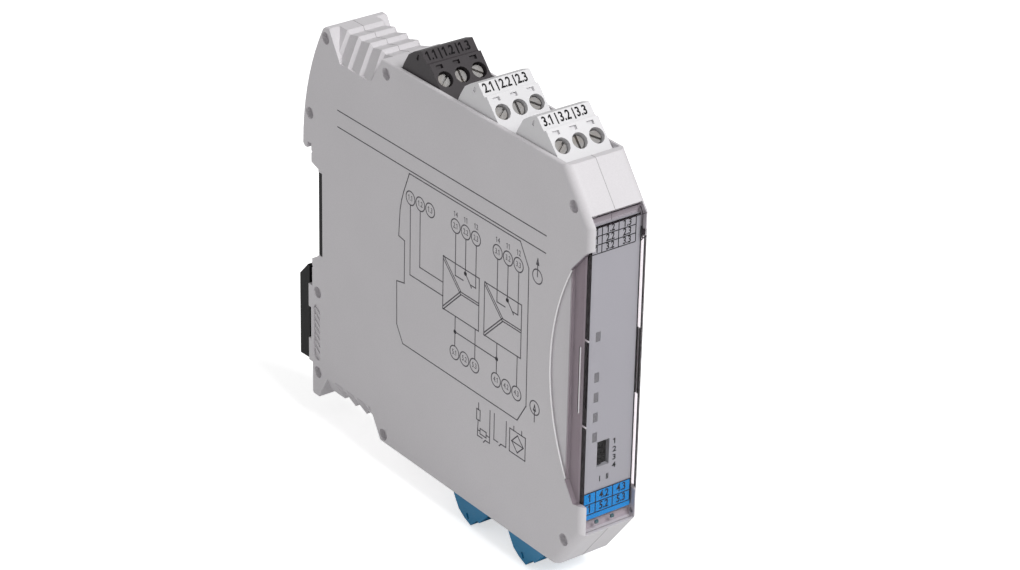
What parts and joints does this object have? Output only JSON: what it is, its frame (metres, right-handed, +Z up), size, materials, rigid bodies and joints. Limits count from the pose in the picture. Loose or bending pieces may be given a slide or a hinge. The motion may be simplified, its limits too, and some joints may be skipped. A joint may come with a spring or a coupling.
{
  "type": "isolating amplifier",
  "caption": "Narrow two-shell module for a 35 mm rail with plug-in screw terminals on both flanks, a hinged clear front cover, slide switches and a sprung rail foot.",
  "frame": {"origin": "centre line of the 35 mm rail, in the plane of the rail's front face, at mid width of the module", "axes": "+X along the rail to the right seen from the front, +Y from the front back to the rail, +Z up"},
  "size_m": [0.0162, 0.1115, 0.1122],
  "materials": {
    "housing_grey": "fine spark-eroded texture",
    "plate_grey": "smooth printed plate",
    "label_blue": "smooth printed label",
    "clear_cover": "clear plastic",
    "light_guide": "smoked clear plastic",
    "board_green": "solder mask",
    "switch_black": "moulded",
    "switch_white": "moulded",
    "led_body": "clear resin",
    "ferrite": "sintered",
    "copper_coil": "taped winding",
    "relay_case": "moulded",
    "capacitor_sleeve": "shrink sleeve",
    "chip_black": "moulded",
    "header_green": "moulded",
    "pin_tin": "tinned",
    "plug_black": "moulded",
    "plug_white": "moulded",
    "plug_blue": "moulded",
    "contact_brass": "plated",
    "screw_zinc": "zinc plated",
    "foot_black": "moulded",
    "spring_steel": "drawn wire",
    "cap_black": "moulded"
  },
  "bodies": {
    "housing": {"left_shell": "housing_grey", "right_shell": "housing_grey", "front_plate": "plate_grey", "blue_label": "label_blue", "light_guide": "light_guide", "circuit_board": "board_green", "dip_switch": "switch_black", "indicator_leds": "led_body", "transformer_core": "ferrite", "transformer_coil": "copper_coil", "relay_1": "relay_case", "relay_2": "relay_case", "capacitor": "capacitor_sleeve", "optocouplers": "chip_black", "control_chips": "chip_black", "header_1": "header_green", "header_2": "header_green", "header_3": "header_green", "header_4": "header_green", "header_5": "header_green", "header_pins": "pin_tin", "foot_spring": "spring_steel", "bus_slot_cap": "cap_black"},
    "front_cover": {"front_cover": "clear_cover"},
    "rail_foot": {"rail_foot": "foot_black"},
    "plug_1": {"plug_1": "plug_black", "clamps_1": "contact_brass"},
    "plug_2": {"plug_2": "plug_white", "clamps_2": "contact_brass"},
    "plug_3": {"plug_3": "plug_white", "clamps_3": "contact_brass"},
    "plug_4": {"plug_4": "plug_blue", "clamps_4": "contact_brass"},
    "plug_5": {"plug_5": "plug_blue", "clamps_5": "contact_brass"},
    "dip_slider_1": {"dip_slider_1": "switch_white"},
    "dip_slider_2": {"dip_slider_2": "switch_white"},
    "dip_slider_3": {"dip_slider_3": "switch_white"},
    "dip_slider_4": {"dip_slider_4": "switch_white"},
    "screw_1_1": {"screw_1_1": "screw_zinc"},
    "screw_1_2": {"screw_1_2": "screw_zinc"},
    "screw_1_3": {"screw_1_3": "screw_zinc"},
    "screw_2_1": {"screw_2_1": "screw_zinc"},
    "screw_2_2": {"screw_2_2": "screw_zinc"},
    "screw_2_3": {"screw_2_3": "screw_zinc"},
    "screw_3_1": {"screw_3_1": "screw_zinc"},
    "screw_3_2": {"screw_3_2": "screw_zinc"},
    "screw_3_3": {"screw_3_3": "screw_zinc"},
    "screw_4_1": {"screw_4_1": "screw_zinc"},
    "screw_4_2": {"screw_4_2": "screw_zinc"},
    "screw_4_3": {"screw_4_3": "screw_zinc"},
    "screw_5_1": {"screw_5_1": "screw_zinc"},
    "screw_5_2": {"screw_5_2": "screw_zinc"},
    "screw_5_3": {"screw_5_3": "screw_zinc"}
  },
  "joints": [
    {"name": "cover_hinge", "type": "hinge", "parent": "housing", "child": "front_cover", "pos_m": [0, -0.1042, -0.0366], "axis": [1, 0, 0], "range_deg": [0, 90]},
    {"name": "foot_slide", "type": "slide", "parent": "housing", "child": "rail_foot", "axis": [0, 0, -1], "range_m": [0, 0.0035], "stiffness_N_per_m": 1200, "springref_m": -0.002, "deforming": ["foot_spring"]},
    {"name": "plug_1_slide", "type": "slide", "parent": "housing", "child": "plug_1", "axis": [0, 0, 1], "range_m": [0, 0.012]},
    {"name": "plug_2_slide", "type": "slide", "parent": "housing", "child": "plug_2", "axis": [0, 0, 1], "range_m": [0, 0.012]},
    {"name": "plug_3_slide", "type": "slide", "parent": "housing", "child": "plug_3", "axis": [0, 0, 1], "range_m": [0, 0.012]},
    {"name": "plug_4_slide", "type": "slide", "parent": "housing", "child": "plug_4", "axis": [0, 0, -1], "range_m": [0, 0.012]},
    {"name": "plug_5_slide", "type": "slide", "parent": "housing", "child": "plug_5", "axis": [0, 0, -1], "range_m": [0, 0.012]},
    {"name": "dip_1_slide", "type": "slide", "parent": "housing", "child": "dip_slider_1", "axis": [1, 0, 0], "range_m": [0, 0.0015]},
    {"name": "dip_2_slide", "type": "slide", "parent": "housing", "child": "dip_slider_2", "axis": [1, 0, 0], "range_m": [0, 0.0015]},
    {"name": "dip_3_slide", "type": "slide", "parent": "housing", "child": "dip_slider_3", "axis": [1, 0, 0], "range_m": [0, 0.0015]},
    {"name": "dip_4_slide", "type": "slide", "parent": "housing", "child": "dip_slider_4", "axis": [1, 0, 0], "range_m": [0, 0.0015]},
    {"name": "screw_1_1_turn", "type": "hinge", "parent": "plug_1", "child": "screw_1_1", "pos_m": [-0.00465, -0.04821, 0.05093], "axis": [0, -0.7314, 0.682], "range_deg": [0, 720]},
    {"name": "screw_1_2_turn", "type": "hinge", "parent": "plug_1", "child": "screw_1_2", "pos_m": [0, -0.04821, 0.05093], "axis": [0, -0.7314, 0.682], "range_deg": [0, 720]},
    {"name": "screw_1_3_turn", "type": "hinge", "parent": "plug_1", "child": "screw_1_3", "pos_m": [0.00465, -0.04821, 0.05093], "axis": [0, -0.7314, 0.682], "range_deg": [0, 720]},
    {"name": "screw_2_1_turn", "type": "hinge", "parent": "plug_2", "child": "screw_2_1", "pos_m": [-0.00465, -0.06931, 0.05093], "axis": [0, -0.7314, 0.682], "range_deg": [0, 720]},
    {"name": "screw_2_2_turn", "type": "hinge", "parent": "plug_2", "child": "screw_2_2", "pos_m": [0, -0.06931, 0.05093], "axis": [0, -0.7314, 0.682], "range_deg": [0, 720]},
    {"name": "screw_2_3_turn", "type": "hinge", "parent": "plug_2", "child": "screw_2_3", "pos_m": [0.00465, -0.06931, 0.05093], "axis": [0, -0.7314, 0.682], "range_deg": [0, 720]},
    {"name": "screw_3_1_turn", "type": "hinge", "parent": "plug_3", "child": "screw_3_1", "pos_m": [-0.00465, -0.09041, 0.05093], "axis": [0, -0.7314, 0.682], "range_deg": [0, 720]},
    {"name": "screw_3_2_turn", "type": "hinge", "parent": "plug_3", "child": "screw_3_2", "pos_m": [0, -0.09041, 0.05093], "axis": [0, -0.7314, 0.682], "range_deg": [0, 720]},
    {"name": "screw_3_3_turn", "type": "hinge", "parent": "plug_3", "child": "screw_3_3", "pos_m": [0.00465, -0.09041, 0.05093], "axis": [0, -0.7314, 0.682], "range_deg": [0, 720]},
    {"name": "screw_4_1_turn", "type": "hinge", "parent": "plug_4", "child": "screw_4_1", "pos_m": [-0.00465, -0.09041, -0.05093], "axis": [0, -0.7314, -0.682], "range_deg": [0, 720]},
    {"name": "screw_4_2_turn", "type": "hinge", "parent": "plug_4", "child": "screw_4_2", "pos_m": [0, -0.09041, -0.05093], "axis": [0, -0.7314, -0.682], "range_deg": [0, 720]},
    {"name": "screw_4_3_turn", "type": "hinge", "parent": "plug_4", "child": "screw_4_3", "pos_m": [0.00465, -0.09041, -0.05093], "axis": [0, -0.7314, -0.682], "range_deg": [0, 720]},
    {"name": "screw_5_1_turn", "type": "hinge", "parent": "plug_5", "child": "screw_5_1", "pos_m": [-0.00465, -0.06931, -0.05093], "axis": [0, -0.7314, -0.682], "range_deg": [0, 720]},
    {"name": "screw_5_2_turn", "type": "hinge", "parent": "plug_5", "child": "screw_5_2", "pos_m": [0, -0.06931, -0.05093], "axis": [0, -0.7314, -0.682], "range_deg": [0, 720]},
    {"name": "screw_5_3_turn", "type": "hinge", "parent": "plug_5", "child": "screw_5_3", "pos_m": [0.00465, -0.06931, -0.05093], "axis": [0, -0.7314, -0.682], "range_deg": [0, 720]}
  ]
}
